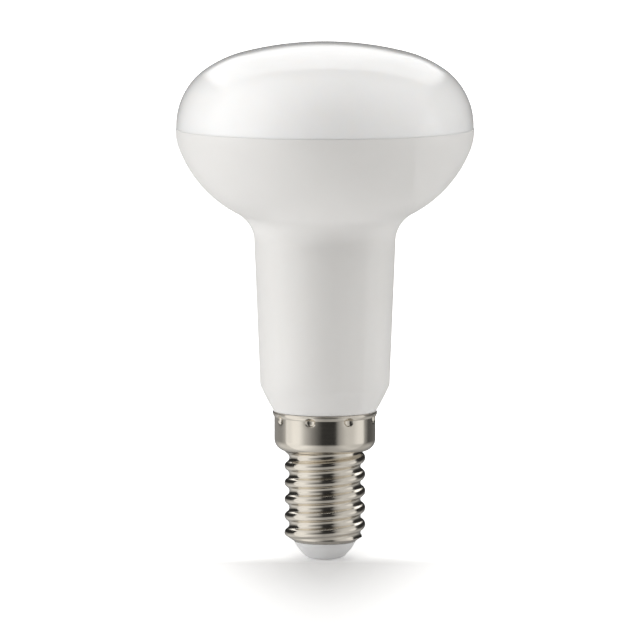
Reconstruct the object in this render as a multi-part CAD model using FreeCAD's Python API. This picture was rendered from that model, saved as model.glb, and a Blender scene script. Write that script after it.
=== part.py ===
import FreeCAD, Part
import math
import os

from BOPTools import SplitAPI

# A reflector lamp with a small screw cap, standing upright on its tip, in millimetres, with z = 0 under
# the centre contact and the lamp's axis on Z. The outer mouldings and pressings are separate solids.
# The lamp is sealed, so its inside is filled.

# Head: the housing's rim, bowl and neck
SEAM_HEIGHT = 72.5
RIM_RADIUS = 25.0
RIM_LAND = 0.25
BOWL_EDGE_RADIUS = 8.9
BOWL_EDGE_TURN = math.radians(21.5)
BOWL_RADIUS = 20.5
NECK_FILLET = 5.6
NECK_DRAFT = math.radians(2.24)
NECK_FOOT_RADIUS = 10.89
FOOT_LENGTH = 4.35
FOOT_OVERHANG = 0.13
FOOT_BULGE = 0.08

# Dome: its edge stands a little inside the housing's rim, and three arcs lead to the crown
SEAM_STEP = 0.1
DOME_EDGE_LAND = 0.55
DOME_EDGE_ROUND = 0.05
SHOULDER_RADIUS = 11.5
SHOULDER_TURN = math.radians(55.0)
HAUNCH_RADIUS = 18.8
HAUNCH_TURN = math.radians(20.5)
DOME_SPIGOT_INSET = 1.5
DOME_SPIGOT_DEPTH = 1.8
MOULDING_CLEARANCE = 0.05

# Cap: a drawn sheet with a collar above a round shoulder and a rolled thread below it
CAP_LENGTH = 25.0
SHEET = 0.25
COLLAR_RADIUS = 8.5
FLARE_REACH = 0.28
FLARE_HEIGHT = 0.75
COLLAR_LENGTH = 4.7
BARREL_NECK_STEP = 0.52
PRESS_CLEARANCE = 0.05

# Rolled thread: round crests and roots of one radius, right-handed
THREAD_PITCH = 2.822
KNUCKLE_RADIUS = 0.822
THREAD_MAJOR_RADIUS = 6.8
CREST_HEIGHT = 5.77
POINTS_PER_TURN = 26
POINTS_PER_KNUCKLE = 4

# Foot of the thread, turned in over the insulator
TURNED_FOOT_INSET = 0.8
TURNED_FOOT_HEIGHT = 3.0
TURNED_FOOT_LEAN = math.radians(33.7)

# Eight punched dimples lock the collar on the housing's spigot
DIMPLE_COUNT = 8
DIMPLE_FIRST_ANGLE = 28.5
DIMPLE_DROP = 1.1
DIMPLE_RADIUS = 0.66
DIMPLE_NOSE_RADIUS = 0.4
DIMPLE_DEPTH = 0.38

# Insulator and centre contact
INSULATOR_TOP = 6.0
INSULATOR_FLANK_BULGE = 0.13
NOSE_TOP_RADIUS = 3.7
NOSE_TOP_HEIGHT = 0.85
NOSE_FLAT_MARGIN = 0.4
NOSE_BULGE = 0.14
CONTACT_RADIUS = 2.2
CONTACT_PROUD = 0.12
CONTACT_EDGE_CHAMFER = 0.1
CONTACT_PLATE = 0.6
CONTACT_STEM_RADIUS = 0.8

AXIS_POINT = FreeCAD.Vector(0, 0, 0)
UP = FreeCAD.Vector(0, 0, 1)
FULL_TURN = 360.0

# Sizes that follow from those above
COLLAR_BORE = COLLAR_RADIUS - SHEET
COLLAR_FOOT_HEIGHT = CAP_LENGTH - COLLAR_LENGTH
FLARE_RADIUS = (FLARE_REACH**2 + FLARE_HEIGHT**2) / (2 * FLARE_REACH)
FLARE_TURN = 2 * math.atan2(FLARE_REACH, FLARE_HEIGHT)
FLARE_FOOT_HEIGHT = CAP_LENGTH - (FLARE_RADIUS + SHEET) * math.sin(FLARE_TURN)
KNUCKLE_REACH = math.sqrt((2 * KNUCKLE_RADIUS) ** 2 - (THREAD_PITCH / 2) ** 2)
KNUCKLE_LEAN = math.atan2(THREAD_PITCH / 2, KNUCKLE_REACH)
THREAD_MINOR_RADIUS = THREAD_MAJOR_RADIUS - 2 * KNUCKLE_RADIUS + KNUCKLE_REACH
THREAD_BORE = THREAD_MINOR_RADIUS - SHEET
CAP_SHOULDER_RADIUS = COLLAR_RADIUS - THREAD_MINOR_RADIUS - BARREL_NECK_STEP
CAP_SHOULDER_HEIGHT = COLLAR_FOOT_HEIGHT - CAP_SHOULDER_RADIUS
TURNED_FOOT_RADIUS = THREAD_MINOR_RADIUS - TURNED_FOOT_INSET
SEAT_HEIGHT = CAP_LENGTH + PRESS_CLEARANCE
NECK_FOOT_HEIGHT = SEAT_HEIGHT + FOOT_LENGTH
FOOT_RADIUS = COLLAR_RADIUS + FOOT_OVERHANG
DOME_RADIUS = RIM_RADIUS - SEAM_STEP
DOME_SPIGOT_RADIUS = DOME_RADIUS - DOME_SPIGOT_INSET
NOSE_FLAT_RADIUS = CONTACT_RADIUS + NOSE_FLAT_MARGIN


def at(radius, height):
    """A point of a section, in the plane that holds the axis and +X."""
    return FreeCAD.Vector(radius, 0, height)


def line(start, end):
    return Part.LineSegment(start, end).toShape()


def polyline(points):
    return [line(start, end) for start, end in zip(points, points[1:])]


def bulged(start, end, bulge):
    """An arc from start to end whose middle stands off the chord by bulge, to the right of the way."""
    way = end - start
    side = at(way.z, -way.x).normalize()
    middle = (start + end) * 0.5 + side * bulge
    return Part.Arc(start, middle, end).toShape()


def bend(start, radius, lean_from, lean_to, rise):
    """An arc that leans further in from the vertical as it rises (1) or falls (-1), and its end."""

    def place(lean):
        inwards = radius * (math.cos(lean_from) - math.cos(lean))
        along = radius * (math.sin(lean) - math.sin(lean_from))
        return at(start.x - inwards, start.z + rise * along)

    end = place(lean_to)
    return Part.Arc(start, place((lean_from + lean_to) / 2), end).toShape(), end


def turned(edges):
    """The solid that a closed section makes when it is turned about the lamp's axis."""
    section = Part.Face(Part.Wire(edges))
    return section.revolve(AXIS_POINT, UP, FULL_TURN)


def around(shape, count, first_angle):
    """Copies of a shape, evenly spaced about the axis."""
    copies = []
    for step in range(count):
        copy = shape.copy()
        copy.rotate(AXIS_POINT, UP, first_angle + step * FULL_TURN / count)
        copies.append(copy)
    return copies


def dome():
    """The opal dome: an edge land, shoulder, haunch and crown, over a spigot that sits in the rim."""
    edge_foot = at(DOME_RADIUS, SEAM_HEIGHT + DOME_EDGE_ROUND)
    edge_top = at(DOME_RADIUS, SEAM_HEIGHT + DOME_EDGE_LAND)
    shoulder, shoulder_end = bend(edge_top, SHOULDER_RADIUS, 0.0, SHOULDER_TURN, 1)
    haunch_lean = SHOULDER_TURN + HAUNCH_TURN
    haunch, haunch_end = bend(shoulder_end, HAUNCH_RADIUS, SHOULDER_TURN, haunch_lean, 1)
    crown_radius = haunch_end.x / math.cos(haunch_lean)
    crown, crown_top = bend(haunch_end, crown_radius, haunch_lean, math.pi / 2, 1)
    spigot_foot = SEAM_HEIGHT - DOME_SPIGOT_DEPTH
    inside = [
        at(0, crown_top.z),
        at(0, spigot_foot),
        at(DOME_SPIGOT_RADIUS, spigot_foot),
        at(DOME_SPIGOT_RADIUS, SEAM_HEIGHT),
        at(DOME_RADIUS - DOME_EDGE_ROUND, SEAM_HEIGHT),
        edge_foot,
        edge_top,
    ]
    return turned(polyline(inside) + [shoulder, haunch, crown])


def neck_fillet(bowl_centre):
    """The arc that leads from the bowl into the drafted neck, touching both, and its two ends."""
    outwards = at(math.cos(NECK_DRAFT), -math.sin(NECK_DRAFT))
    along = at(math.sin(NECK_DRAFT), math.cos(NECK_DRAFT))
    foot = at(NECK_FOOT_RADIUS, NECK_FOOT_HEIGHT) + outwards * NECK_FILLET
    to_foot = foot - bowl_centre
    half_way = to_foot.dot(along)
    reach = BOWL_RADIUS + NECK_FILLET
    way = -half_way - math.sqrt(half_way**2 - to_foot.dot(to_foot) + reach**2)
    centre = foot + along * way
    to_bowl = (bowl_centre - centre).normalize()
    bowl_end = centre + to_bowl * NECK_FILLET
    neck_end = centre - outwards * NECK_FILLET
    middle = centre + (to_bowl - outwards).normalize() * NECK_FILLET
    return Part.Arc(bowl_end, middle, neck_end).toShape(), bowl_end, neck_end


def housing_outside(rim):
    """The housing's outline from the rim down over the bowl, neck and foot to the collar."""
    edge, edge_end = bend(rim, BOWL_EDGE_RADIUS, 0.0, BOWL_EDGE_TURN, -1)
    inwards = at(-math.cos(BOWL_EDGE_TURN), math.sin(BOWL_EDGE_TURN))
    bowl_centre = edge_end + inwards * BOWL_RADIUS
    fillet, bowl_end, neck_end = neck_fillet(bowl_centre)
    bowl_lean = math.asin((bowl_centre.z - bowl_end.z) / BOWL_RADIUS)
    bowl, _ = bend(edge_end, BOWL_RADIUS, BOWL_EDGE_TURN, bowl_lean, -1)
    neck_foot = at(NECK_FOOT_RADIUS, NECK_FOOT_HEIGHT)
    foot_end = at(FOOT_RADIUS, SEAT_HEIGHT)
    neck = line(neck_end, neck_foot)
    foot = bulged(neck_foot, foot_end, -FOOT_BULGE)
    return [edge, bowl, fillet, neck, foot], foot_end


def housing():
    """The white housing: a solid head and neck over the spigot that the cap is pressed on."""
    rim_bore = DOME_SPIGOT_RADIUS + MOULDING_CLEARANCE
    deck = SEAM_HEIGHT - DOME_SPIGOT_DEPTH
    spigot_radius = COLLAR_BORE - PRESS_CLEARANCE
    core_radius = THREAD_BORE - PRESS_CLEARANCE
    rim_foot = at(RIM_RADIUS, SEAM_HEIGHT - RIM_LAND)
    outside, foot_end = housing_outside(rim_foot)
    spigot_chamfer = CAP_SHOULDER_RADIUS - SHEET
    spigot_end = at(spigot_radius, COLLAR_FOOT_HEIGHT)
    top = [at(0, deck), at(rim_bore, deck), at(rim_bore, SEAM_HEIGHT), at(RIM_RADIUS, SEAM_HEIGHT), rim_foot]
    step = [foot_end, at(spigot_radius, SEAT_HEIGHT), spigot_end]
    core = [
        at(spigot_radius - spigot_chamfer, COLLAR_FOOT_HEIGHT - spigot_chamfer),
        at(core_radius, COLLAR_FOOT_HEIGHT - spigot_chamfer),
        at(core_radius, INSULATOR_TOP),
        at(0, INSULATOR_TOP),
        at(0, deck),
    ]
    body = turned(polyline(top) + outside + polyline(step + core))
    return body.cut(dimple_backs(SHEET + PRESS_CLEARANCE))


def dimple_punches(allowance):
    """The blunt punches that press the dimples into the collar, each larger all over by the allowance."""
    height = CAP_LENGTH - DIMPLE_DROP
    tip = COLLAR_RADIUS - DIMPLE_DEPTH - allowance
    taper = (DIMPLE_RADIUS - DIMPLE_NOSE_RADIUS) / DIMPLE_DEPTH
    length = DIMPLE_DEPTH + allowance + SHEET
    nose = DIMPLE_NOSE_RADIUS + allowance
    punch = Part.makeCone(nose, nose + taper * length, length, at(tip, height), at(1, 0))
    return around(punch, DIMPLE_COUNT, DIMPLE_FIRST_ANGLE)


def dimple_backs(allowance):
    """The dimples' punches as far as they stand inside the collar's wall."""
    height = 4 * DIMPLE_RADIUS
    low = CAP_LENGTH - DIMPLE_DROP - height / 2
    room = Part.makeCylinder(COLLAR_RADIUS - SHEET / 2, height, at(0, low))
    return [punch.common(room) for punch in dimple_punches(allowance)]


def knuckle_point(centre_radius, side, share):
    """Radius and height on one round of the thread's section, for a share of 0 to 1 along it."""
    lean = KNUCKLE_LEAN * (2 * share - 1)
    radius = centre_radius + side * KNUCKLE_RADIUS * math.cos(lean)
    return radius, KNUCKLE_RADIUS * math.sin(lean)


def knuckle_skin(centre_radius, side, middle_height):
    """One turn of a crest (side 1) or root (side -1): the round carried up a helix by one pitch."""
    rows = []
    for step in range(POINTS_PER_TURN + 1):
        turn = step / POINTS_PER_TURN
        angle = 2 * math.pi * turn
        row = []
        for place in range(POINTS_PER_KNUCKLE + 1):
            radius, height = knuckle_point(centre_radius, side, place / POINTS_PER_KNUCKLE)
            row.append(
                FreeCAD.Vector(
                    radius * math.cos(angle),
                    radius * math.sin(angle),
                    middle_height + height + THREAD_PITCH * turn,
                )
            )
        rows.append(row)
    skin = Part.BSplineSurface()
    skin.interpolate(rows)
    return skin.toShape()


def thread_skin(low, high):
    """The thread's wavy skin, one turn at a time, from below low to above high."""
    crest = knuckle_skin(THREAD_MAJOR_RADIUS - KNUCKLE_RADIUS, 1, 0.0)
    root = knuckle_skin(THREAD_MINOR_RADIUS + KNUCKLE_RADIUS, -1, THREAD_PITCH / 2)
    first = math.floor((low - CREST_HEIGHT) / THREAD_PITCH) - 2
    last = math.ceil((high - CREST_HEIGHT) / THREAD_PITCH) + 1
    turns = []
    for turn in range(first, last):
        for round_skin in (crest, root):
            copy = round_skin.copy()
            copy.translate(FreeCAD.Vector(0, 0, CREST_HEIGHT + turn * THREAD_PITCH))
            turns.append(copy)
    skin = Part.makeShell(turns)
    skin.sewShape()
    return skin


def threaded_rod(low, high):
    """A solid rod with the thread's skin, cut flat at both heights."""
    blank = Part.makeCylinder(THREAD_MAJOR_RADIUS + SHEET, high - low, at(0, low))
    pieces = SplitAPI.slice(blank, [thread_skin(low, high)], "Split").Solids
    middle = at(0, (low + high) / 2)
    return next(piece for piece in pieces if piece.isInside(middle, SHEET / 10, True))


def turned_foot():
    """Points on the turned-in foot: its outer edge, its inner edge, and where it meets the bore."""
    outer = at(TURNED_FOOT_RADIUS, TURNED_FOOT_HEIGHT)
    along = at(math.cos(TURNED_FOOT_LEAN), math.sin(TURNED_FOOT_LEAN))
    across = at(-math.sin(TURNED_FOOT_LEAN), math.cos(TURNED_FOOT_LEAN))
    inner = outer + across * SHEET
    bore = inner + along * ((THREAD_BORE - inner.x) / along.x)
    return outer, inner, bore


def rolled_barrel():
    """The threaded barrel, cut by the cone of its turned-in foot and hollow inside."""
    outer, inner, bore = turned_foot()
    high = CAP_SHOULDER_HEIGHT + SHEET / 2
    low = outer.z - SHEET
    rod = threaded_rod(low, high)
    wide = THREAD_MAJOR_RADIUS + SHEET
    cone_top = outer.z + (wide - outer.x) * math.tan(TURNED_FOOT_LEAN)
    cone_foot = outer.z - (outer.x - inner.x) * math.tan(TURNED_FOOT_LEAN)
    cone = [
        at(0, cone_foot),
        at(inner.x, cone_foot),
        at(wide, cone_top),
        at(wide, high),
        at(0, high),
        at(0, cone_foot),
    ]
    envelope = turned(polyline(cone))
    outside_edge = outer + (outer - inner)
    hollow = [
        at(0, outside_edge.z - SHEET),
        at(outside_edge.x, outside_edge.z - SHEET),
        outside_edge,
        inner,
        bore,
        at(bore.x, high),
        at(0, high),
        at(0, outside_edge.z - SHEET),
    ]
    return rod.common(envelope).cut(turned(polyline(hollow)))


def drawn_cup():
    """The collar with its flared lip, over the round shoulder that closes in on the barrel."""
    outer_foot = at(COLLAR_RADIUS, COLLAR_FOOT_HEIGHT)
    inner_foot = at(COLLAR_BORE, COLLAR_FOOT_HEIGHT)
    shoulder_out, flat_out = bend(outer_foot, CAP_SHOULDER_RADIUS, 0.0, math.pi / 2, -1)
    shoulder_in, flat_in = bend(inner_foot, CAP_SHOULDER_RADIUS - SHEET, 0.0, math.pi / 2, -1)
    flare_out, flare_out_foot, lip_out = flare(FLARE_RADIUS)
    flare_in, flare_in_foot, lip_in = flare(FLARE_RADIUS + SHEET)
    outside = [flare_out, line(flare_out_foot, outer_foot), shoulder_out]
    floor = [flat_out, at(THREAD_BORE, flat_out.z), at(THREAD_BORE, flat_in.z), flat_in]
    inside = [shoulder_in, line(inner_foot, flare_in_foot), flare_in, line(lip_in, lip_out)]
    return turned(outside + polyline(floor) + inside)


def flare(radius):
    """One face of the flared lip, an arc about a centre outside the collar, its foot and its lip end."""
    centre = at(COLLAR_RADIUS + FLARE_RADIUS, FLARE_FOOT_HEIGHT)

    def place(turn):
        return centre + at(-math.cos(turn), math.sin(turn)) * radius

    foot, lip = place(0.0), place(FLARE_TURN)
    return Part.Arc(foot, place(FLARE_TURN / 2), lip).toShape(), foot, lip


def screw_shell():
    """The plated screw shell in one sheet: cup, rolled barrel and dimples."""
    shell = drawn_cup().fuse(rolled_barrel())
    return shell.fuse(dimple_backs(SHEET)).cut(dimple_punches(0.0))


def insulator():
    """The moulded insulator: a plug in the barrel and a round-nosed cone under the turned-in foot."""
    outer, inner, bore = turned_foot()
    plug_radius = THREAD_BORE - PRESS_CLEARANCE
    throat = inner.x - PRESS_CLEARANCE
    brim = outer.z - PRESS_CLEARANCE
    plate_top = CONTACT_PLATE + MOULDING_CLEARANCE
    stem_bore = CONTACT_STEM_RADIUS + MOULDING_CLEARANCE
    plate_bore = CONTACT_RADIUS + MOULDING_CLEARANCE
    brim_edge = at(outer.x, brim)
    nose_top = at(NOSE_TOP_RADIUS, NOSE_TOP_HEIGHT)
    nose_flat = at(NOSE_FLAT_RADIUS, CONTACT_PROUD)
    upper = [
        at(stem_bore, INSULATOR_TOP - PRESS_CLEARANCE),
        at(plug_radius, INSULATOR_TOP - PRESS_CLEARANCE),
        at(plug_radius, bore.z + PRESS_CLEARANCE),
        at(throat, inner.z + PRESS_CLEARANCE),
        at(throat, brim),
        brim_edge,
    ]
    lower = [
        nose_flat,
        at(plate_bore, CONTACT_PROUD),
        at(plate_bore, plate_top),
        at(stem_bore, plate_top),
        at(stem_bore, INSULATOR_TOP - PRESS_CLEARANCE),
    ]
    flank = bulged(brim_edge, nose_top, -INSULATOR_FLANK_BULGE)
    nose = bulged(nose_top, nose_flat, -NOSE_BULGE)
    return turned(polyline(upper) + [flank, nose] + polyline(lower))


def contact():
    """The centre contact: a round plate under the nose, and the stem that carries the lead."""
    top = INSULATOR_TOP - PRESS_CLEARANCE
    section = [
        at(CONTACT_RADIUS - CONTACT_EDGE_CHAMFER, 0),
        at(0, 0),
        at(0, top),
        at(CONTACT_STEM_RADIUS, top),
        at(CONTACT_STEM_RADIUS, CONTACT_PLATE),
        at(CONTACT_RADIUS, CONTACT_PLATE),
        at(CONTACT_RADIUS, CONTACT_EDGE_CHAMFER),
        at(CONTACT_RADIUS - CONTACT_EDGE_CHAMFER, 0),
    ]
    return turned(polyline(section))


def main():
    os.makedirs("parts", exist_ok=True)
    pieces = {
        "diffuser_dome": dome,
        "housing": housing,
        "screw_shell": screw_shell,
        "cap_insulator": insulator,
        "centre_contact": contact,
    }
    for name, build in pieces.items():
        shape = build()
        solids = shape.Solids
        print(name, "solids", len(solids), "volume", round(shape.Volume, 2), "valid", shape.isValid())
        solid = solids[0] if len(solids) == 1 else shape
        solid.exportStep(f"parts/{name}.step")


main()
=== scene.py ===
import logging
import math
from dataclasses import dataclass
from enum import Enum

import bmesh
import bpy
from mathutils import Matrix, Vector

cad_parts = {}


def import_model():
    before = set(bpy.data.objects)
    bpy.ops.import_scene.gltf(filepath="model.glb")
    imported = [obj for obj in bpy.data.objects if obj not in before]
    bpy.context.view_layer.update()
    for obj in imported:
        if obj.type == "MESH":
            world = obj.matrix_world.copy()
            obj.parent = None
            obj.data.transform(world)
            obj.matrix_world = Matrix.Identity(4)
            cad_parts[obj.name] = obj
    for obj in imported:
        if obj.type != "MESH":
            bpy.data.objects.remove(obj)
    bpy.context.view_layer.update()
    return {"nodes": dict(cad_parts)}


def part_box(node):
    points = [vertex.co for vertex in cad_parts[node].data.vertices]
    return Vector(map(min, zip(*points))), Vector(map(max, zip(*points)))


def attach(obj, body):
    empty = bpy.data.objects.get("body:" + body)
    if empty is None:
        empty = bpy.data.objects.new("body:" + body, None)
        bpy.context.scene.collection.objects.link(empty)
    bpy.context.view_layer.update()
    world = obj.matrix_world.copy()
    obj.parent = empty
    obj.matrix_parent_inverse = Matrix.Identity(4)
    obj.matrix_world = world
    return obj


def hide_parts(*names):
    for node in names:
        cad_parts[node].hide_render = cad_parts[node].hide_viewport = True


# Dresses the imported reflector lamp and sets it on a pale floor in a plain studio. Lengths are in
# metres, z = 0 is under the centre contact and the lamp's axis is Z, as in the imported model. Turned
# pieces are drawn as a section in the plane y = 0 and spun about the axis.

LOG = logging.getLogger("reflector_lamp")

# A fade is where a change starts and ends, stops are angles with their levels, and a stroke is a
# falloff with its reach and depth
Triple = tuple[float, float, float]
Colour = Triple
Fade = tuple[float, float]
Stops = tuple[tuple[float, float], ...]
Stroke = tuple[str, float, float]
Socket = bpy.types.NodeSocket

MM = 0.001
BODY = "root"

# How finely the pieces are drawn
ARC_STEP = math.radians(1.8)
ARC_EDGE = 0.1 * MM
ARC_LEAST = 4
SMOOTH_ANGLE = math.radians(32.0)
WELD = 0.002 * MM

# Sizes that two pieces share
CLEARANCE = 0.05 * MM
SPIGOT_INSET = 1.5 * MM
SHEET = 0.25 * MM
TURNED_FOOT_RADIUS = 5.2 * MM
TURNED_FOOT_LEAN = math.radians(33.7)

# What the finishes share
NOISE_LOW = 0.3
NOISE_HIGH = 0.7
SOFT_DETAIL = 2.0
MIDDLE_DETAIL = 3.0
FINE_DETAIL = 4.0
# Facing at which the painted shade towards the outline begins
PAINTED_SHADE_START = 0.35
PLASTIC_IOR = 1.49
SCATTER_REACH = (1.0, 0.9, 0.8)


class Slot(Enum):
    """The record's material slots."""

    OPAL = "opal_plastic"
    WHITE = "white_plastic"
    NICKEL = "nickel_plate"
    INSULATOR = "insulator_plastic"
    CONTACT = "contact_metal"


@dataclass(frozen=True)
class PackedSizes:
    """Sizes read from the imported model, so that each new piece stays where its node is."""

    dome_radius: float
    dome_foot: float
    rim_radius: float
    seam_height: float
    lip_radius: float
    cap_length: float
    cap_foot: float
    insulator_top: float
    nose_height: float
    contact_radius: float

    @classmethod
    def read(cls) -> "PackedSizes":
        """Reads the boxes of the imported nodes.

        Returns:
            The sizes, in metres.
        """
        dome_low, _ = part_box("diffuser_dome")
        _, housing_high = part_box("housing")
        shell_low, shell_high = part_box("screw_shell")
        insulator_low, insulator_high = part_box("cap_insulator")
        return cls(
            dome_radius=half_width("diffuser_dome"),
            dome_foot=dome_low[2],
            rim_radius=half_width("housing"),
            seam_height=housing_high[2],
            lip_radius=half_width("screw_shell"),
            cap_length=shell_high[2],
            cap_foot=shell_low[2],
            insulator_top=insulator_high[2],
            nose_height=insulator_low[2],
            contact_radius=half_width("centre_contact"),
        )


def half_width(node: str) -> float:
    """Gives the radius of a round node.

    Args:
        node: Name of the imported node.

    Returns:
        The least distance from the axis to a side of its box.
    """
    low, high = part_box(node)
    return min(-low[0], -low[1], high[0], high[1])


class Lathe:
    """Draws a closed section from point to point in edit mode and spins it about the axis."""

    def __init__(self, name: str, radius: float, height: float) -> None:
        """Starts a section with one point.

        Args:
            name: Name of the piece.
            radius: Distance of the first point from the axis.
            height: Height of the first point.
        """
        bpy.ops.object.select_all(action="DESELECT")
        bpy.ops.mesh.primitive_plane_add(size=MM, location=(radius, 0.0, height))
        bpy.ops.object.transform_apply(location=True, rotation=True, scale=True)
        self.piece = bpy.context.object
        self.piece.name = name
        self.piece.data.name = name
        bpy.ops.object.mode_set(mode="EDIT")
        bpy.ops.mesh.select_all(action="SELECT")
        bpy.ops.mesh.merge(type="CENTER")
        self.radius = radius
        self.height = height

    def to(self, radius: float, height: float, parts: int = 1) -> "Lathe":
        """Extrudes a straight run to a point.

        Args:
            radius: Distance of the run's end from the axis.
            height: Height of the run's end.
            parts: Number of equal edges in the run.

        Returns:
            The lathe, for the next run.
        """
        step = Vector((radius - self.radius, 0.0, height - self.height)) / parts
        for _ in range(parts):
            bpy.ops.mesh.extrude_region_move(TRANSFORM_OT_translate={"value": step})
        self.radius = radius
        self.height = height
        return self

    def turn(self, centre_radius: float, centre_height: float, angle: float) -> "Lathe":
        """Spins the last point about a centre in the plane of the section.

        Args:
            centre_radius: Distance of the centre from the axis.
            centre_height: Height of the centre.
            angle: Turn in radians, positive from +X towards +Z.

        Returns:
            The lathe, for the next run.
        """
        across, up = self.radius - centre_radius, self.height - centre_height
        length = abs(angle) * math.hypot(across, up)
        steps = max(ARC_LEAST, math.ceil(min(abs(angle) / ARC_STEP, length / ARC_EDGE)))
        centre = (centre_radius, 0.0, centre_height)
        bpy.ops.mesh.spin(steps=steps, angle=angle, center=centre, axis=(0.0, 1.0, 0.0))
        self.radius = centre_radius + across * math.cos(angle) - up * math.sin(angle)
        self.height = centre_height + across * math.sin(angle) + up * math.cos(angle)
        return self

    def bend(self, radius: float, lean_from: float, lean_to: float, rise: int) -> "Lathe":
        """Adds an arc that leans further in from the vertical as it goes.

        Args:
            radius: Radius of the arc.
            lean_from: Lean at its start, in radians from the vertical.
            lean_to: Lean at its end.
            rise: 1 where the arc rises, -1 where it falls.

        Returns:
            The lathe, for the next run.
        """
        centre_radius = self.radius - radius * math.cos(lean_from)
        centre_height = self.height - rise * radius * math.sin(lean_from)
        return self.turn(centre_radius, centre_height, rise * (lean_to - lean_from))

    def bulged_to(self, radius: float, height: float, bulge: float) -> "Lathe":
        """Adds an arc to a point, whose middle stands off the chord.

        Args:
            radius: Distance of the arc's end from the axis.
            height: Height of the arc's end.
            bulge: How far the middle stands off, positive to the left of the way.

        Returns:
            The lathe, for the next run.
        """
        across, up = radius - self.radius, height - self.height
        chord = math.hypot(across, up)
        arc_radius = (chord**2 / 4 + bulge**2) / (2 * abs(bulge))
        side = math.copysign(arc_radius - abs(bulge), -bulge)
        centre_radius = (self.radius + radius) / 2 - up / chord * side
        centre_height = (self.height + height) / 2 + across / chord * side
        angle = 2 * math.asin(chord / 2 / arc_radius)
        return self.turn(centre_radius, centre_height, math.copysign(angle, -bulge))

    def spun(self, segments: int) -> bpy.types.Object:
        """Closes the section, spins it right round and welds it.

        Args:
            segments: Number of steps in the full turn.

        Returns:
            The finished solid, with smooth faces and crisp edges.
        """
        bpy.ops.object.mode_set(mode="OBJECT")
        turn = self.piece.modifiers.new("turn", "SCREW")
        turn.axis = "Z"
        turn.angle = math.tau
        turn.steps = segments
        turn.render_steps = segments
        turn.use_merge_vertices = True
        turn.merge_threshold = WELD
        bpy.ops.object.modifier_apply(modifier=turn.name)
        bpy.ops.object.mode_set(mode="EDIT")
        bpy.ops.mesh.select_all(action="SELECT")
        bpy.ops.mesh.remove_doubles(threshold=WELD)
        bpy.ops.mesh.normals_make_consistent(inside=False)
        bpy.ops.object.mode_set(mode="OBJECT")
        bpy.ops.object.shade_smooth_by_angle(angle=SMOOTH_ANGLE)
        return self.piece


class ValueNodes:
    """Adds value nodes to the tree of a world or a material."""

    def __init__(self, tree: bpy.types.NodeTree) -> None:
        """Keeps the tree.

        Args:
            tree: The node tree.
        """
        self.tree = tree

    def put(self, socket: Socket, value: Socket | float) -> None:
        """Links or sets an input.

        Args:
            socket: The input.
            value: Socket to link, or a plain value.
        """
        if isinstance(value, Socket):
            self.tree.links.new(value, socket)
        else:
            socket.default_value = value

    def split(self, vector: Socket) -> tuple[Socket, Socket, Socket]:
        """Splits a vector.

        Args:
            vector: Socket with the vector.

        Returns:
            The sockets of its X, Y and Z.
        """
        parts = self.tree.nodes.new("ShaderNodeSeparateXYZ")
        self.tree.links.new(vector, parts.inputs["Vector"])
        return parts.outputs["X"], parts.outputs["Y"], parts.outputs["Z"]

    def math(self, operation: str, *values: Socket | float) -> Socket:
        """Adds a math node.

        Args:
            operation: Name of the operation.
            values: Its operands.

        Returns:
            The result's socket.
        """
        node = self.tree.nodes.new("ShaderNodeMath")
        node.operation = operation
        for socket, value in zip(node.inputs, values):
            self.put(socket, value)
        return node.outputs["Value"]

    def ranged(
        self, value: Socket, low: float, high: float, first: float = 0.0, last: float = 1.0
    ) -> Socket:
        """Maps a value from one range to another and holds it there.

        Args:
            value: Socket to map.
            low: Value that gives first.
            high: Value that gives last.
            first: Result at low.
            last: Result at high.

        Returns:
            The result's socket.
        """
        node = self.tree.nodes.new("ShaderNodeMapRange")
        ends = {"From Min": low, "From Max": high, "To Min": first, "To Max": last}
        for key, number in ends.items():
            node.inputs[key].default_value = number
        self.put(node.inputs["Value"], value)
        return node.outputs["Result"]

    def mix(self, share: Socket, first: Socket | float, second: Socket | float) -> Socket:
        """Mixes two values.

        Args:
            share: Socket with the second value's share.
            first: Value at a share of 0.
            second: Value at a share of 1.

        Returns:
            The result's socket.
        """
        node = self.tree.nodes.new("ShaderNodeMix")
        for socket, value in zip(node.inputs, (share, None, first, second)):
            if value is not None:
                self.put(socket, value)
        return node.outputs["Result"]

    def ramp(self, place: Socket, stops: Stops) -> Socket:
        """Adds a ramp of levels over -90 to 90 degrees.

        Args:
            place: Socket that runs from 0 at -90 degrees to 1 at 90 degrees.
            stops: Degrees and level of each stop.

        Returns:
            The level's socket.
        """
        node = self.tree.nodes.new("ShaderNodeValToRGB")
        elements = node.color_ramp.elements
        while len(elements) < len(stops):
            elements.new(0.5)
        for element, (degrees, level) in zip(elements, stops):
            element.position = degrees / 180.0 + 0.5
            element.color = (level, level, level, 1.0)
        self.put(node.inputs["Fac"], place)
        return node.outputs["Color"]


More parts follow.
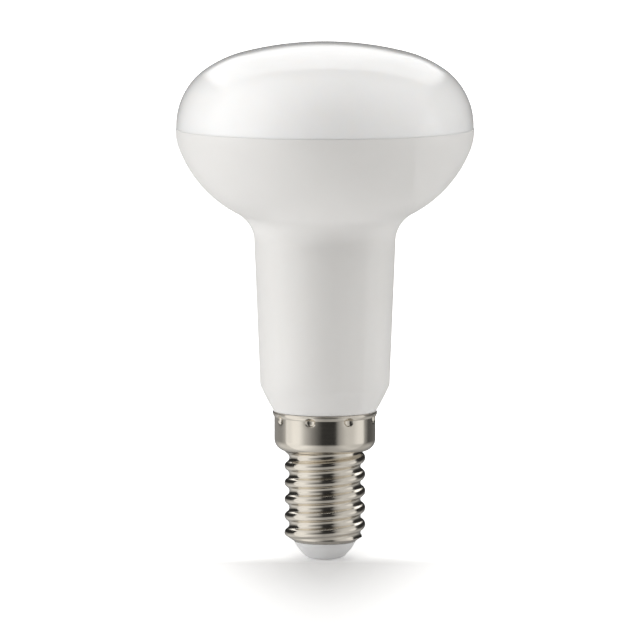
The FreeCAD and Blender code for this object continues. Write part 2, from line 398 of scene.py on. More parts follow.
class NodeMaterial:
    """A node material that is built up from a Principled shader."""

    def __init__(self, name: str) -> None:
        """Makes the material with a shader and object coordinates.

        Args:
            name: Name of the material.
        """
        self.material = bpy.data.materials.new(name)
        self.material.use_nodes = True
        self.tree = self.material.node_tree
        self.values = ValueNodes(self.tree)
        self.shader = self.tree.nodes["Principled BSDF"]
        self.place = self.tree.nodes.new("ShaderNodeTexCoord").outputs["Object"]

    def set(self, **values: float | Colour) -> None:
        """Sets the shader's own sockets.

        Args:
            values: Socket names with underscores for spaces, and their values.
        """
        for key, value in values.items():
            socket = self.shader.inputs[key.replace("_", " ")]
            socket.default_value = (*value, 1.0) if isinstance(value, tuple) else value

    def stretched(self, scale: Triple) -> Socket:
        """Stretches the coordinates along the axes.

        Args:
            scale: Scale along X, Y and Z.

        Returns:
            The stretched coordinates.
        """
        mapping = self.tree.nodes.new("ShaderNodeMapping")
        mapping.inputs["Scale"].default_value = scale
        self.tree.links.new(self.place, mapping.inputs["Vector"])
        return mapping.outputs["Vector"]

    def noise(self, scale: float, detail: float, place: Socket | None = None) -> Socket:
        """Adds a noise texture.

        Args:
            scale: Scale of the noise, in waves per metre.
            detail: Number of octaves.
            place: Coordinates, or None for the plain object coordinates.

        Returns:
            The noise's value socket.
        """
        noise = self.tree.nodes.new("ShaderNodeTexNoise")
        noise.inputs["Scale"].default_value = scale
        noise.inputs["Detail"].default_value = detail
        self.tree.links.new(place or self.place, noise.inputs["Vector"])
        return noise.outputs["Fac"]

    def blend(self, share: Socket, first: Colour, second: Colour) -> Socket:
        """Blends two colours.

        Args:
            share: Socket with the second colour's share.
            first: Colour at a share of 0.
            second: Colour at a share of 1.

        Returns:
            The blended colour's socket.
        """
        ramp = self.tree.nodes.new("ShaderNodeValToRGB")
        stops = zip(ramp.color_ramp.elements, (NOISE_LOW, NOISE_HIGH), (first, second))
        for element, position, colour in stops:
            element.position = position
            element.color = (*colour, 1.0)
        self.tree.links.new(share, ramp.inputs["Fac"])
        return ramp.outputs["Color"]

    def painted_outline_shade(self, tones: Socket, painted_outline_share: float) -> Socket:
        """Paints shade into a colour towards the outline, deeper where the surface turns away from
        the view.

        Args:
            tones: Socket with the colour.
            painted_outline_share: Share of the colour that is left at the outline, where the painted
                shade is deepest.

        Returns:
            The socket of the colour with its painted shade.
        """
        facing = self.tree.nodes.new("ShaderNodeLayerWeight").outputs["Facing"]
        share = self.values.ranged(facing, PAINTED_SHADE_START, 1.0, 1.0, painted_outline_share)
        dimmed = self.tree.nodes.new("ShaderNodeVectorMath")
        dimmed.operation = "SCALE"
        self.tree.links.new(tones, dimmed.inputs[0])
        self.tree.links.new(share, dimmed.inputs["Scale"])
        return dimmed.outputs["Vector"]

    def roughen(self, noise: Socket, middle: float, spread: float) -> None:
        """Lets the roughness follow a noise.

        Args:
            noise: Socket with the noise.
            middle: Middle of the roughness.
            spread: How far it goes to either side.
        """
        rough = self.values.ranged(noise, NOISE_LOW, NOISE_HIGH, middle - spread, middle + spread)
        self.feed("Roughness", rough)

    def relief(self, heights: list[tuple[Socket, float]]) -> None:
        """Adds one bump after another to the shader's normal.

        Args:
            heights: Each bump's height socket and its depth in metres.
        """
        normal = None
        for height, depth in heights:
            bump = self.tree.nodes.new("ShaderNodeBump")
            bump.inputs["Distance"].default_value = depth
            self.tree.links.new(height, bump.inputs["Height"])
            if normal:
                self.tree.links.new(normal, bump.inputs["Normal"])
            normal = bump.outputs["Normal"]
        self.tree.links.new(normal, self.shader.inputs["Normal"])

    def feed(self, key: str, value: Socket) -> None:
        """Links a socket to one of the shader's inputs.

        Args:
            key: Name of the shader's input.
            value: Socket to link.
        """
        self.tree.links.new(value, self.shader.inputs[key])


@dataclass(frozen=True)
class MouldedPlastic:
    """A moulded plastic: two close tones, a soft flow ripple, a fine grain and, where asked, painted
    shade towards the outline.
    """

    name: str
    slot: Slot
    tone: Colour
    shade: Colour
    roughness: float
    roughness_spread: float
    ripple_scale: float
    ripple_depth: float
    grain_scale: float
    grain_depth: float
    subsurface: float
    subsurface_reach: float
    # Share of the colour left at the outline by the painted shade; 1 paints no shade.
    painted_outline_share: float = 1.0
    cloud_share: float = 0.7

    def material(self) -> bpy.types.Material:
        """Builds the material.

        Returns:
            The node material.
        """
        made = NodeMaterial(self.name)
        made.set(IOR=PLASTIC_IOR, Subsurface_Weight=self.subsurface)
        made.set(Subsurface_Scale=self.subsurface_reach)
        made.shader.inputs["Subsurface Radius"].default_value = SCATTER_REACH
        ripple = made.noise(self.ripple_scale, SOFT_DETAIL)
        grain = made.noise(self.grain_scale, FINE_DETAIL)
        cloud = made.noise(self.ripple_scale * self.cloud_share, MIDDLE_DETAIL)
        tones = made.blend(cloud, self.tone, self.shade)
        # Painted shade: the base colour darkens towards the outline as the surface turns from the
        # view.
        made.feed("Base Color", made.painted_outline_shade(tones, self.painted_outline_share) if self.painted_outline_share < 1.0 else tones)
        made.roughen(grain, self.roughness, self.roughness_spread)
        made.relief([(ripple, self.ripple_depth), (grain, self.grain_depth)])
        return made.material


@dataclass(frozen=True)
class PlatedSheet:
    """A plated sheet, drawn and spun, with fine lines that run round the lamp's axis."""

    name: str
    slot: Slot
    tone: Colour
    shade: Colour
    roughness: float
    roughness_spread: float
    line_scale: float
    line_depth: float
    dent_scale: float
    dent_depth: float
    across_scale: float = 300.0
    cloud_share: float = 0.6

    def material(self) -> bpy.types.Material:
        """Builds the material.

        Returns:
            The node material.
        """
        made = NodeMaterial(self.name)
        made.set(Metallic=1.0)
        drawn = made.stretched((self.across_scale, self.across_scale, self.line_scale))
        lines = made.noise(1.0, MIDDLE_DETAIL, drawn)
        cloud = made.noise(self.dent_scale * self.cloud_share, MIDDLE_DETAIL)
        dents = made.noise(self.dent_scale, SOFT_DETAIL)
        made.feed("Base Color", made.blend(cloud, self.tone, self.shade))
        made.roughen(lines, self.roughness, self.roughness_spread)
        made.relief([(dents, self.dent_depth), (lines, self.line_depth)])
        return made.material


OPAL = MouldedPlastic(
    name="opal_dome_plastic",
    slot=Slot.OPAL,
    tone=(0.88, 0.88, 0.88),
    shade=(0.865, 0.865, 0.863),
    roughness=0.13,
    roughness_spread=0.02,
    ripple_scale=90.0,
    ripple_depth=0.02 * MM,
    grain_scale=3000.0,
    grain_depth=0.0005 * MM,
    subsurface=0.35,
    subsurface_reach=1.2 * MM,
    # Painted shade: the dome's colour falls to 0.86 of itself at the outline.
    painted_outline_share=0.86,
)
WHITE = MouldedPlastic(
    name="white_housing_plastic",
    slot=Slot.WHITE,
    tone=(0.79, 0.782, 0.77),
    shade=(0.775, 0.767, 0.752),
    roughness=0.36,
    roughness_spread=0.03,
    ripple_scale=70.0,
    ripple_depth=0.03 * MM,
    grain_scale=4000.0,
    grain_depth=0.001 * MM,
    subsurface=0.08,
    subsurface_reach=0.8 * MM,
)
INSULATOR = MouldedPlastic(
    name="grey_insulator_plastic",
    slot=Slot.INSULATOR,
    tone=(0.72, 0.72, 0.722),
    shade=(0.68, 0.68, 0.682),
    roughness=0.5,
    roughness_spread=0.06,
    ripple_scale=400.0,
    ripple_depth=0.01 * MM,
    grain_scale=6000.0,
    grain_depth=0.002 * MM,
    subsurface=0.1,
    subsurface_reach=0.6 * MM,
)
NICKEL = PlatedSheet(
    name="nickel_plated_sheet",
    slot=Slot.NICKEL,
    tone=(0.81, 0.757, 0.668),
    shade=(0.78, 0.725, 0.635),
    roughness=0.15,
    roughness_spread=0.03,
    line_scale=9000.0,
    line_depth=0.0004 * MM,
    dent_scale=350.0,
    dent_depth=0.008 * MM,
)
CONTACT = PlatedSheet(
    name="pressed_contact_metal",
    slot=Slot.CONTACT,
    tone=(0.70, 0.68, 0.64),
    shade=(0.62, 0.59, 0.55),
    roughness=0.32,
    roughness_spread=0.08,
    line_scale=4000.0,
    line_depth=0.001 * MM,
    dent_scale=900.0,
    dent_depth=0.01 * MM,
)


@dataclass(frozen=True)
class Punch:
    """A punch that presses a ring of round hollows into a skin by soft falloffs."""

    count: int = 8
    first_angle: float = math.radians(28.5)
    drop: float = 1.1 * MM

    def press(
        self, piece: bpy.types.Object, radius: float, height: float, strokes: tuple[Stroke, ...]
    ) -> None:
        """Presses the hollows in.

        Args:
            piece: The piece.
            radius: Radius of its skin.
            height: Height of the edge that the hollows lie under.
            strokes: Falloff, reach and depth of each stroke of the punch.
        """
        bpy.ops.object.mode_set(mode="EDIT")
        for step in range(self.count):
            angle = self.first_angle + step * math.tau / self.count
            outwards = Vector((math.cos(angle), math.sin(angle), 0.0))
            middle = outwards * radius
            middle.z = height - self.drop
            bpy.ops.mesh.select_all(action="DESELECT")
            mesh = bmesh.from_edit_mesh(piece.data)
            nearest = min(mesh.verts, key=lambda vertex: (vertex.co - middle).length_squared)
            nearest.select = True
            bmesh.update_edit_mesh(piece.data)
            for falloff, reach, depth in strokes:
                bpy.ops.transform.translate(
                    value=outwards * -depth,
                    use_proportional_edit=True,
                    proportional_edit_falloff=falloff,
                    proportional_size=reach,
                )
        bpy.ops.object.mode_set(mode="OBJECT")


def dress(piece: bpy.types.Object, finish: MouldedPlastic | PlatedSheet, node: str) -> None:
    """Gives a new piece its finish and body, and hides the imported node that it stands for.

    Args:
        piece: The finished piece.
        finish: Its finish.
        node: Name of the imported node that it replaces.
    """
    piece.data.materials.clear()
    piece.data.materials.append(finish.material())
    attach(piece, BODY)
    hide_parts(node)
    LOG.info("%s stands for %s with %d faces", piece.name, node, len(piece.data.polygons))


@dataclass
class Dome:
    """The opal dome with its edge land, shoulder, haunch and crown."""

    sizes: PackedSizes
    edge_land: float = 0.55 * MM
    edge_round: float = 0.02 * MM
    shoulder_radius: float = 11.5 * MM
    shoulder_turn: float = math.radians(55.0)
    haunch_radius: float = 18.8 * MM
    haunch_turn: float = math.radians(20.5)
    base_parts: int = 6
    segments: int = 256

    def build(self) -> bpy.types.Object:
        """Turns the dome.

        Returns:
            The finished dome.
        """
        sizes = self.sizes
        spigot = sizes.dome_radius - SPIGOT_INSET
        haunch_lean = self.shoulder_turn + self.haunch_turn
        lathe = Lathe("opal_dome", 0.0, sizes.dome_foot)
        lathe.to(spigot, sizes.dome_foot, self.base_parts).to(spigot, sizes.seam_height)
        lathe.to(sizes.dome_radius - self.edge_round, sizes.seam_height)
        lathe.bend(self.edge_round, -math.pi / 2, 0.0, 1)
        lathe.to(sizes.dome_radius, sizes.seam_height + self.edge_land)
        lathe.bend(self.shoulder_radius, 0.0, self.shoulder_turn, 1)
        lathe.bend(self.haunch_radius, self.shoulder_turn, haunch_lean, 1)
        lathe.bend(lathe.radius / math.cos(haunch_lean), haunch_lean, math.pi / 2, 1)
        piece = lathe.spun(self.segments)
        dress(piece, OPAL, "diffuser_dome")
        return piece


@dataclass
class Housing:
    """The white housing: rim, bowl, drafted neck and foot over the spigot that carries the cap."""

    sizes: PackedSizes
    rim_land: float = 0.25 * MM
    rim_round: float = 0.015 * MM
    edge_radius: float = 8.9 * MM
    edge_turn: float = math.radians(21.5)
    bowl_radius: float = 20.5 * MM
    neck_fillet: float = 5.6 * MM
    neck_draft: float = math.radians(2.24)
    neck_foot_radius: float = 10.89 * MM
    foot_length: float = 4.35 * MM
    foot_radius: float = 8.63 * MM
    foot_bulge: float = 0.08 * MM
    cap_spigot_radius: float = 8.2 * MM
    cap_spigot_length: float = 4.7 * MM
    core_radius: float = 5.7 * MM
    boss_room_radius: float = 1.1 * MM
    boss_room_depth: float = 0.52 * MM
    deck_parts: int = 6
    neck_rows: int = 12
    spigot_rows: int = 28
    core_parts: int = 3
    segments: int = 256

    @property
    def seat(self) -> float:
        """Height of the face that stands over the cap."""
        return self.sizes.cap_length + CLEARANCE

    def draw_bowl_and_neck(self, lathe: Lathe) -> None:
        """Draws the bowl, the neck and the arc between them, which touches both.

        Args:
            lathe: The lathe, at the start of the bowl.
        """
        to_centre = Vector((-math.cos(self.edge_turn), math.sin(self.edge_turn)))
        centre = Vector((lathe.radius, lathe.height)) + to_centre * self.bowl_radius
        outwards = Vector((math.cos(self.neck_draft), -math.sin(self.neck_draft)))
        along = Vector((math.sin(self.neck_draft), math.cos(self.neck_draft)))
        neck_foot_height = self.seat + self.foot_length
        foot = Vector((self.neck_foot_radius, neck_foot_height)) + outwards * self.neck_fillet
        to_foot = foot - centre
        half_way = to_foot.dot(along)
        reach = self.bowl_radius + self.neck_fillet
        way = -half_way - math.sqrt(half_way**2 - to_foot.length_squared + reach**2)
        fillet_centre = foot + along * way
        to_bowl = (centre - fillet_centre).normalized()
        bowl_lean = math.asin(to_bowl.y)
        lathe.bend(self.bowl_radius, self.edge_turn, bowl_lean, -1)
        lathe.turn(fillet_centre.x, fillet_centre.y, bowl_lean + self.neck_draft)
        lathe.to(self.neck_foot_radius, neck_foot_height, self.neck_rows)

    def build(self) -> bpy.types.Object:
        """Turns the housing.

        Returns:
            The finished housing.
        """
        sizes = self.sizes
        bore = sizes.dome_radius - SPIGOT_INSET + CLEARANCE
        edge = sizes.rim_radius - self.rim_round
        lathe = Lathe("white_housing", 0.0, sizes.dome_foot)
        lathe.to(bore, sizes.dome_foot, self.deck_parts).to(bore, sizes.seam_height)
        lathe.to(edge, sizes.seam_height)
        lathe.turn(edge, sizes.seam_height - self.rim_round, -math.pi / 2)
        lathe.to(sizes.rim_radius, sizes.seam_height - self.rim_land)
        lathe.bend(self.edge_radius, 0.0, self.edge_turn, -1)
        self.draw_bowl_and_neck(lathe)
        lathe.bulged_to(self.foot_radius, self.seat, self.foot_bulge)
        spigot_foot = self.seat - self.cap_spigot_length
        core_foot = sizes.insulator_top + CLEARANCE
        lathe.to(self.cap_spigot_radius, self.seat)
        lathe.to(self.cap_spigot_radius, spigot_foot, self.spigot_rows)
        lathe.to(self.core_radius, spigot_foot - (self.cap_spigot_radius - self.core_radius) / 2)
        lathe.to(self.core_radius, core_foot).to(0.0, core_foot, self.core_parts)
        piece = lathe.spun(self.segments)
        room = ("SPHERE", self.boss_room_radius, self.boss_room_depth)
        Punch().press(piece, self.cap_spigot_radius, sizes.cap_length, (room,))
        dress(piece, WHITE, "housing")
        return piece


@dataclass
class ScrewShell:
    """The plated shell: lip, dimpled collar, round shoulder, rolled thread and turned-in foot."""

    sizes: PackedSizes
    collar_radius: float = 8.5 * MM
    flare_height: float = 0.75 * MM
    lip_round: float = 0.03 * MM
    lip_land: float = 0.33 * MM
    lip_lean: float = 0.03 * MM
    collar_length: float = 4.7 * MM
    barrel_neck_step: float = 0.52 * MM
    pitch: float = 2.822 * MM
    knuckle: float = 0.822 * MM
    thread_radius: float = 6.8 * MM
    crest_height: float = 5.77 * MM
    draw_radius: float = 1.5 * MM
    draw_depth: float = 0.05 * MM
    dimple_radius: float = 0.78 * MM
    dimple_depth: float = 0.38 * MM
    lip_rows: int = 3
    band_rows: int = 18
    collar_rows: int = 8
    neck_rows: int = 4
    rows_per_pitch: int = 24
    bore_rows: int = 6
    step_parts: int = 2
    collar_bore_rows: int = 3
    band_bore_rows: int = 12
    segments: int = 320

    @property
    def root_radius(self) -> float:
        """Radius at the thread's root."""
        reach = math.sqrt((2 * self.knuckle) ** 2 - (self.pitch / 2) ** 2)
        return self.thread_radius - 2 * self.knuckle + reach

    @property
    def shoulder_radius(self) -> float:
        """Radius of the round shoulder between the collar and the barrel's neck."""
        return self.collar_radius - self.root_radius - self.barrel_neck_step

    @property
    def bore(self) -> float:
        """Radius of the plain bore inside the thread."""
        return self.root_radius - SHEET

    @property
    def shoulder_foot(self) -> float:
        """Height at which the shoulder runs into the barrel's neck."""
        return self.sizes.cap_length - self.collar_length - self.shoulder_radius

    def knuckle_radius_at(self, angle: float, height: float) -> float:
        """Gives the rolled thread's radius at a place.

        Args:
            angle: Angle about the axis.
            height: Height of the place.

        Returns:
            Distance of the thread's skin from the axis.
        """
        turns = (height - self.crest_height) / self.pitch - angle / math.tau
        off_crest = (turns - round(turns)) * self.pitch
        quarter = self.pitch / 4
        if abs(off_crest) <= quarter:
            return self.thread_radius - self.knuckle + math.sqrt(self.knuckle**2 - off_crest**2)
        off_root = self.pitch / 2 - abs(off_crest)
        return self.root_radius + self.knuckle - math.sqrt(self.knuckle**2 - off_root**2)

    def blank(self) -> bpy.types.Object:
        """Turns the drawn cup before its thread is rolled.

        Returns:
            The plain cup.
        """
        sizes = self.sizes
        top = sizes.cap_length
        collar_bore = self.collar_radius - SHEET
        collar_foot = top - self.collar_length
        flare_reach = sizes.lip_radius - self.collar_radius
        flare_radius = (flare_reach**2 + self.flare_height**2) / (2 * flare_reach)
        flare_turn = 2 * math.atan2(flare_reach, self.flare_height)
        flare_foot = top - (flare_radius + SHEET) * math.sin(flare_turn)
        flare_centre = self.collar_radius + flare_radius
        lip_in = flare_centre - (flare_radius + SHEET) * math.cos(flare_turn)
        shoulder_foot = self.shoulder_foot
        foot_in = TURNED_FOOT_RADIUS - math.sin(TURNED_FOOT_LEAN) * SHEET
        foot_in_height = sizes.cap_foot + math.cos(TURNED_FOOT_LEAN) * SHEET
        bore_foot = foot_in_height + math.tan(TURNED_FOOT_LEAN) * (self.bore - foot_in)
        band_foot = top - Punch.drop - self.draw_radius
        lathe = Lathe("nickel_screw_shell", lip_in, top)
        lathe.bulged_to(sizes.lip_radius, flare_foot + self.flare_height, self.lip_round)
        lathe.to(sizes.lip_radius - self.lip_lean, lathe.height - self.lip_land, self.lip_rows)
        lathe.bulged_to(self.collar_radius, flare_foot, self.lip_round)
        lathe.to(self.collar_radius, band_foot, self.band_rows)
        lathe.to(self.collar_radius, collar_foot, self.collar_rows)
        lathe.bend(self.shoulder_radius, 0.0, math.pi / 2, -1)
        rows = math.ceil((shoulder_foot - sizes.cap_foot) / self.pitch * self.rows_per_pitch)
        lathe.to(self.root_radius, shoulder_foot, self.neck_rows)
        lathe.to(self.root_radius, sizes.cap_foot, rows)
        lathe.to(foot_in, foot_in_height).to(self.bore, bore_foot)
        lathe.to(self.bore, shoulder_foot, self.bore_rows)
        lathe.to(self.bore, shoulder_foot + SHEET)
        inner_shoulder = collar_bore - (self.shoulder_radius - SHEET)
        lathe.to(inner_shoulder, shoulder_foot + SHEET, self.step_parts)
        lathe.turn(inner_shoulder, collar_foot, math.pi / 2)
        lathe.to(collar_bore, band_foot, self.collar_bore_rows)
        lathe.to(collar_bore, flare_foot, self.band_bore_rows)
        lathe.turn(flare_centre, flare_foot, -flare_turn)
        return lathe.spun(self.segments)

    def roll_thread(self, piece: bpy.types.Object) -> None:
        """Pushes the barrel's outer skin out to the thread and in to the foot's cone.

        Args:
            piece: The plain cup.
        """
        for vertex in piece.data.vertices:
            place = vertex.co
            radius = math.hypot(place.x, place.y)
            if abs(radius - self.root_radius) > WELD or place.z > self.shoulder_foot - WELD:
                continue
            rolled = self.knuckle_radius_at(math.atan2(place.y, place.x), place.z)
            rise = place.z - self.sizes.cap_foot
            wanted = min(rolled, TURNED_FOOT_RADIUS + rise / math.tan(TURNED_FOOT_LEAN))
            place.x *= wanted / radius
            place.y *= wanted / radius

    def build(self) -> bpy.types.Object:
        """Turns, rolls and punches the shell.

        Returns:
            The finished shell.
        """
        piece = self.blank()
        self.roll_thread(piece)
        draw = ("SMOOTH", self.draw_radius, self.draw_depth)
        dimple = ("SPHERE", self.dimple_radius, self.dimple_depth)
        Punch().press(piece, self.collar_radius, self.sizes.cap_length, (draw, dimple))
        bpy.ops.object.shade_smooth_by_angle(angle=SMOOTH_ANGLE)
        dress(piece, NICKEL, "screw_shell")
        return piece


@dataclass
class Insulator:
    """The insulator: a plug in the barrel and a round-nosed cone under the turned-in foot."""

    sizes: PackedSizes
    plug_radius: float = 5.7 * MM
    nose_radius: float = 3.7 * MM
    nose_top: float = 0.85 * MM
    flat_radius: float = 2.6 * MM
    flank_bulge: float = 0.13 * MM
    nose_bulge: float = 0.14 * MM
    plate_height: float = 0.65 * MM
    stem_bore: float = 0.85 * MM
    brim_parts: int = 2
    nose_parts: int = 2
    segments: int = 192

    def build(self) -> bpy.types.Object:
        """Turns the insulator.

        Returns:
            The finished insulator.
        """
        sizes = self.sizes
        throat = TURNED_FOOT_RADIUS - math.sin(TURNED_FOOT_LEAN) * SHEET - CLEARANCE
        throat_height = sizes.cap_foot + math.cos(TURNED_FOOT_LEAN) * SHEET + CLEARANCE
        plug_foot = throat_height + math.tan(TURNED_FOOT_LEAN) * (self.plug_radius - throat)
        plate_bore = sizes.contact_radius + CLEARANCE
        brim = sizes.cap_foot - CLEARANCE
        lathe = Lathe("grey_insulator", self.stem_bore, sizes.insulator_top)
        lathe.to(self.plug_radius, sizes.insulator_top).to(self.plug_radius, plug_foot)
        lathe.to(throat, throat_height).to(throat, brim)
        lathe.to(TURNED_FOOT_RADIUS, brim, self.brim_parts)
        lathe.bulged_to(self.nose_radius, self.nose_top, self.flank_bulge)
        lathe.bulged_to(self.flat_radius, sizes.nose_height, self.nose_bulge)
        lathe.to(plate_bore, sizes.nose_height, self.nose_parts)
        lathe.to(plate_bore, self.plate_height)
        lathe.to(self.stem_bore, self.plate_height).to(self.stem_bore, sizes.insulator_top)
        piece = lathe.spun(self.segments)
        dress(piece, INSULATOR, "cap_insulator")
        return piece


def add_area_lamp(
    name: str, place: Vector, rotation: Triple, width: float, depth: float, radiance: float
) -> None:
    """Adds an area lamp that lights matt surfaces and is seen by neither the camera nor gloss.

    Args:
        name: Name of the lamp.
        place: Its middle.
        rotation: Its rotation about X, Y and Z.
        width: Its width.
        depth: Its other side's length.
        radiance: Radiance of its face.
    """
    bpy.ops.object.light_add(type="AREA", location=place, rotation=rotation)
    lamp = bpy.context.object
    lamp.name = name
    lamp.data.shape = "RECTANGLE"
    lamp.data.size = width
    lamp.data.size_y = depth
    lamp.data.energy = radiance * math.pi * width * depth
    lamp.visible_camera = False
    lamp.visible_glossy = False


@dataclass(frozen=True)
class SoftBox:
    """An upright soft box that faces the lamp, given by the directions in degrees that it fills."""

    name: str
    left: float
    right: float
    radiance: float
    low: float = -38.0
    high: float = 30.0
    distance: float = 0.9
    lamp_middle: float = 0.045

    def build(self) -> None:
        """Adds the soft box."""
        azimuth = math.radians((self.left + self.right) / 2)
        low, high = math.tan(math.radians(self.low)), math.tan(math.radians(self.high))
        away = Vector((math.sin(azimuth), -math.cos(azimuth), (high + low) / 2))
        place = away * self.distance + Vector((0.0, 0.0, self.lamp_middle))
        width = 2 * self.distance * math.tan(math.radians(self.right - self.left) / 2)
        depth = self.distance * (high - low)
        add_area_lamp(self.name, place, (math.pi / 2, 0.0, azimuth), width, depth, self.radiance)


@dataclass(frozen=True)
class Ceiling:
    """A level soft box over the lamp."""

    name: str
    front: float
    back: float
    radiance: float
    height: float = 1.0
    width: float = 1.0

    def build(self) -> None:
        """Adds the soft box."""
        place = Vector((0.0, (self.front + self.back) / 2, self.height))
        depth = self.back - self.front
        add_area_lamp(self.name, place, (0.0, 0.0, 0.0), self.width, depth, self.radiance)


LAMPS = (
    SoftBox("left_soft_box", left=-101.0, right=-70.0, radiance=2.85),
    SoftBox("left_front_soft_box", left=-70.0, right=-42.0, radiance=1.65),
    SoftBox("right_soft_box", left=72.0, right=103.0, radiance=2.8),
    Ceiling("front_ceiling_soft_box", front=-0.9, back=-0.2, radiance=2.2),
    Ceiling("back_ceiling_soft_box", front=-0.2, back=0.5, radiance=2.1),
)


@dataclass(frozen=True)
class Surroundings:
    """What the lamp mirrors: walls that lean in overhead, a dark gap in front, floor and backdrop.

    Stops are degrees off the upright plane through the camera and the lamp, positive to the right,
    each with the level that is mirrored from there. Edges and fades are parts of the direction.
    """

    fill: float
    fill_tint: Colour
    front: Stops
    overhead: Stops
    below: Stops
    back: Stops
    back_gloom: float
    backdrop: float
    back_below: float
    back_edge: float = 0.15
    ceiling_edge: float = 0.33
    backdrop_foot: float = 0.2
    backdrop_half_width: float = 0.25
    backdrop_slant: float = 0.9
    overhead_fade: Fade = (0.3, 0.6)
    floor_fade: Fade = (-0.2, -0.5)
    gloom_fade: Fade = (-0.1, 0.0)
    back_floor_fade: Fade = (-0.15, -0.4)
    backdrop_fade: Fade = (0.0, 0.1)
    ceiling_fade: Fade = (0.5, 0.62)
    behind_fade: Fade = (0.0, 0.06)

    def walls(self, sky: ValueNodes, across: Socket, away: Socket, up: Socket) -> Socket:
        """Adds the levels that gloss mirrors.

        Args:
            sky: The world's value nodes.
            across: The direction's part to the right.
            away: Its part away from the camera.
            up: Its part upwards.

        Returns:
            The level's socket.
        """
        place = sky.ranged(sky.math("ARCSINE", across), -math.pi / 2, math.pi / 2)
        floor = sky.ramp(place, self.below)
        high = sky.ranged(up, *self.overhead_fade)
        front = sky.mix(high, sky.ramp(place, self.front), sky.ramp(place, self.overhead))
        front = sky.mix(sky.ranged(up, *self.floor_fade), front, floor)
        gloom = sky.ranged(up, *self.gloom_fade)
        back = sky.mix(gloom, sky.ramp(place, self.back), self.back_gloom)
        back_floor = sky.math("MULTIPLY", floor, self.back_below)
        back = sky.mix(sky.ranged(up, *self.back_floor_fade), back, back_floor)
        beside = sky.math("SUBTRACT", sky.math("ABSOLUTE", across), self.backdrop_half_width)
        slant = sky.math("MULTIPLY", sky.math("MAXIMUM", beside, 0.0), self.backdrop_slant)
        over = sky.math("SUBTRACT", sky.math("SUBTRACT", up, slant), self.backdrop_foot)
        back = sky.mix(sky.ranged(over, *self.backdrop_fade), back, self.backdrop)
        overhead_edge = self.back_edge + self.ceiling_edge
        edge = sky.ranged(up, *self.ceiling_fade, self.back_edge, overhead_edge)
        behind = sky.ranged(sky.math("SUBTRACT", away, edge), *self.behind_fade)
        return sky.mix(behind, front, back)

    def build(self) -> None:
        """Makes the world: white for the camera, walls for gloss and an even fill for the rest."""
        world = bpy.data.worlds.new("studio_world")
        world.use_nodes = True
        bpy.context.scene.world = world
        tree = world.node_tree
        sky = ValueNodes(tree)
        place = tree.nodes.new("ShaderNodeTexCoord").outputs["Generated"]
        walls = self.walls(sky, *sky.split(place))
        path = tree.nodes.new("ShaderNodeLightPath").outputs
        level = sky.mix(path["Is Glossy Ray"], self.fill, walls)
        seen = sky.math("MAXIMUM", path["Is Camera Ray"], path["Is Transmission Ray"])
        tint = tree.nodes.new("ShaderNodeMix")
        tint.data_type = "RGBA"
        tint.inputs["A"].default_value = (*self.fill_tint, 1.0)
        tint.inputs["B"].default_value = (1.0, 1.0, 1.0, 1.0)
        plain = sky.math("MAXIMUM", seen, path["Is Glossy Ray"])
        background = tree.nodes["Background"].inputs
        tree.links.new(plain, tint.inputs["Factor"])
        tree.links.new(tint.outputs["Result"], background["Color"])
        tree.links.new(sky.mix(seen, level, 1.0), background["Strength"])


SURROUNDINGS = Surroundings(
    fill=0.12,
    fill_tint=(1.0, 0.94, 0.83),
    front=(
        (-84.0, 0.85),
        (-76.0, 1.02),
        (-60.0, 1.0),
        (-46.0, 0.55),
        (-30.0, 0.27),
        (-16.0, 0.12),
        (-6.0, 0.035),
        (24.0, 0.03),
        (32.0, 0.35),
        (50.0, 0.64),
        (66.0, 0.67),
        (80.0, 0.9),
    ),
    overhead=(
        (-45.0, 0.9),
        (-28.0, 0.6),
        (-17.0, 0.4),
        (-9.0, 0.03),
        (14.0, 0.02),
        (20.0, 0.3),
        (35.0, 0.6),
        (60.0, 0.7),
    ),
    below=(
        (-80.0, 0.9),
        (-40.0, 1.0),
        (-15.0, 0.55),
        (0.0, 0.36),
        (20.0, 0.42),
        (40.0, 0.69),
        (80.0, 0.5),
    ),
    back=(
        (-78.0, 0.5),
        (-62.0, 0.3),
        (-20.0, 0.3),
        (20.0, 0.16),
        (62.0, 0.08),
        (78.0, 0.4),
    ),
    back_gloom=0.03,
    backdrop=1.6,
    back_below=0.7,
)


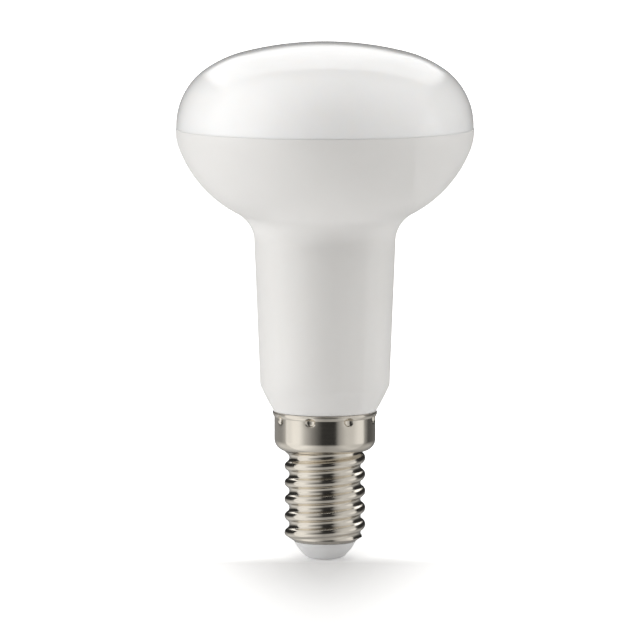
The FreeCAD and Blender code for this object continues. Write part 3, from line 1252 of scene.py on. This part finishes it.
@dataclass
class Studio:
    """The floor, the surroundings, the lamps and the camera."""

    floor_size: float = 12.0
    floor_drop: float = 0.02 * MM
    floor_tone: Colour = (0.8, 0.8, 0.8)
    fibre_scale: float = 800.0
    fibre_shade: float = 0.995
    floor_glow_fade: Fade = (0.02, 0.30)
    floor_glow: Fade = (0.08, 1.0)
    rear_glow_fade: Fade = (-0.006, 0.002)
    rear_glow: Fade = (0.0, 0.38)
    glow_stretch: Triple = (6.5, 1.0, 1.0)
    camera_distance: float = 1.08
    camera_height: float = 0.1535
    camera_offset: float = -0.000825
    aim_height: float = 0.0403
    focal_pixels: float = 6470.0
    picture_pixels: float = 640.0
    clip_start: float = 0.05

    def clear_from_below(self, made: NodeMaterial) -> None:
        """Lets a look from below the floor pass through it.

        Args:
            made: The floor's material.
        """
        nodes = made.tree.nodes
        side = nodes.new("ShaderNodeNewGeometry")
        clear = nodes.new("ShaderNodeBsdfTransparent")
        either = nodes.new("ShaderNodeMixShader")
        made.tree.links.new(side.outputs["Backfacing"], either.inputs[0])
        made.tree.links.new(made.shader.outputs["BSDF"], either.inputs[1])
        made.tree.links.new(clear.outputs["BSDF"], either.inputs[2])
        made.tree.links.new(either.outputs["Shader"], nodes["Material Output"].inputs["Surface"])

    def glow(self, made: NodeMaterial) -> Socket:
        """Adds the floor's glow, which grows away from the lamp and which only the camera sees.

        Args:
            made: The floor's material.

        Returns:
            The glow's socket.
        """
        values = made.values
        reach = made.tree.nodes.new("ShaderNodeVectorMath")
        reach.operation = "LENGTH"
        made.tree.links.new(made.stretched(self.glow_stretch), reach.inputs[0])
        _, along, _ = values.split(made.place)
        far = values.ranged(reach.outputs["Value"], *self.floor_glow_fade, *self.floor_glow)
        behind = values.ranged(along, *self.rear_glow_fade, *self.rear_glow)
        camera_ray = made.tree.nodes.new("ShaderNodeLightPath").outputs["Is Camera Ray"]
        return values.math("MULTIPLY", values.math("ADD", far, behind), camera_ray)

    def floor(self) -> None:
        """Lays a pale floor that keeps the lamp's shadow and runs out to white for the camera."""
        place = (0.0, 0.0, -self.floor_drop)
        bpy.ops.mesh.primitive_plane_add(size=self.floor_size, location=place)
        floor = bpy.context.object
        floor.name = "studio_floor"
        made = NodeMaterial("studio_floor_paper")
        made.set(Roughness=1.0, Specular_IOR_Level=0.0, Emission_Color=(1.0, 1.0, 1.0))
        fibres = made.noise(self.fibre_scale, MIDDLE_DETAIL)
        shade = tuple(self.fibre_shade * part for part in self.floor_tone)
        made.feed("Base Color", made.blend(fibres, self.floor_tone, shade))
        made.feed("Emission Strength", self.glow(made))
        self.clear_from_below(made)
        floor.data.materials.append(made.material)
        floor.visible_glossy = False
        floor.visible_shadow = False

    def camera(self) -> None:
        """Sets the camera at the photograph's angle, level and without depth of field."""
        eye = Vector((self.camera_offset, -self.camera_distance, self.camera_height))
        aim = Vector((self.camera_offset, 0.0, self.aim_height))
        data = bpy.data.cameras.new("studio_camera")
        data.lens = data.sensor_width * self.focal_pixels / self.picture_pixels
        data.clip_start = self.clip_start
        camera = bpy.data.objects.new("studio_camera", data)
        camera.location = eye
        camera.rotation_mode = "QUATERNION"
        camera.rotation_quaternion = (aim - eye).to_track_quat("-Z", "Y")
        bpy.context.scene.collection.objects.link(camera)
        bpy.context.scene.camera = camera

    def build(self) -> None:
        """Builds the studio."""
        self.floor()
        SURROUNDINGS.build()
        for lamp in LAMPS:
            lamp.build()
        self.camera()
        bpy.context.scene.view_settings.view_transform = "Standard"


def finish_contact(node: bpy.types.Object) -> None:
    """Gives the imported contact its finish.

    Args:
        node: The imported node, whose shape stays.
    """
    node.data.materials.clear()
    node.data.materials.append(CONTACT.material())
    LOG.info("%s keeps its packed shape", node.name)


def main() -> None:
    """Loads the frame, dresses the lamp and builds the studio."""
    logging.basicConfig(level=logging.INFO, format="%(name)s: %(message)s")
    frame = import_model()
    sizes = PackedSizes.read()
    for assembly in (Dome(sizes), Housing(sizes), ScrewShell(sizes), Insulator(sizes)):
        assembly.build()
    finish_contact(frame["nodes"]["centre_contact"])
    Studio().build()


if __name__ == "__main__":
    main()
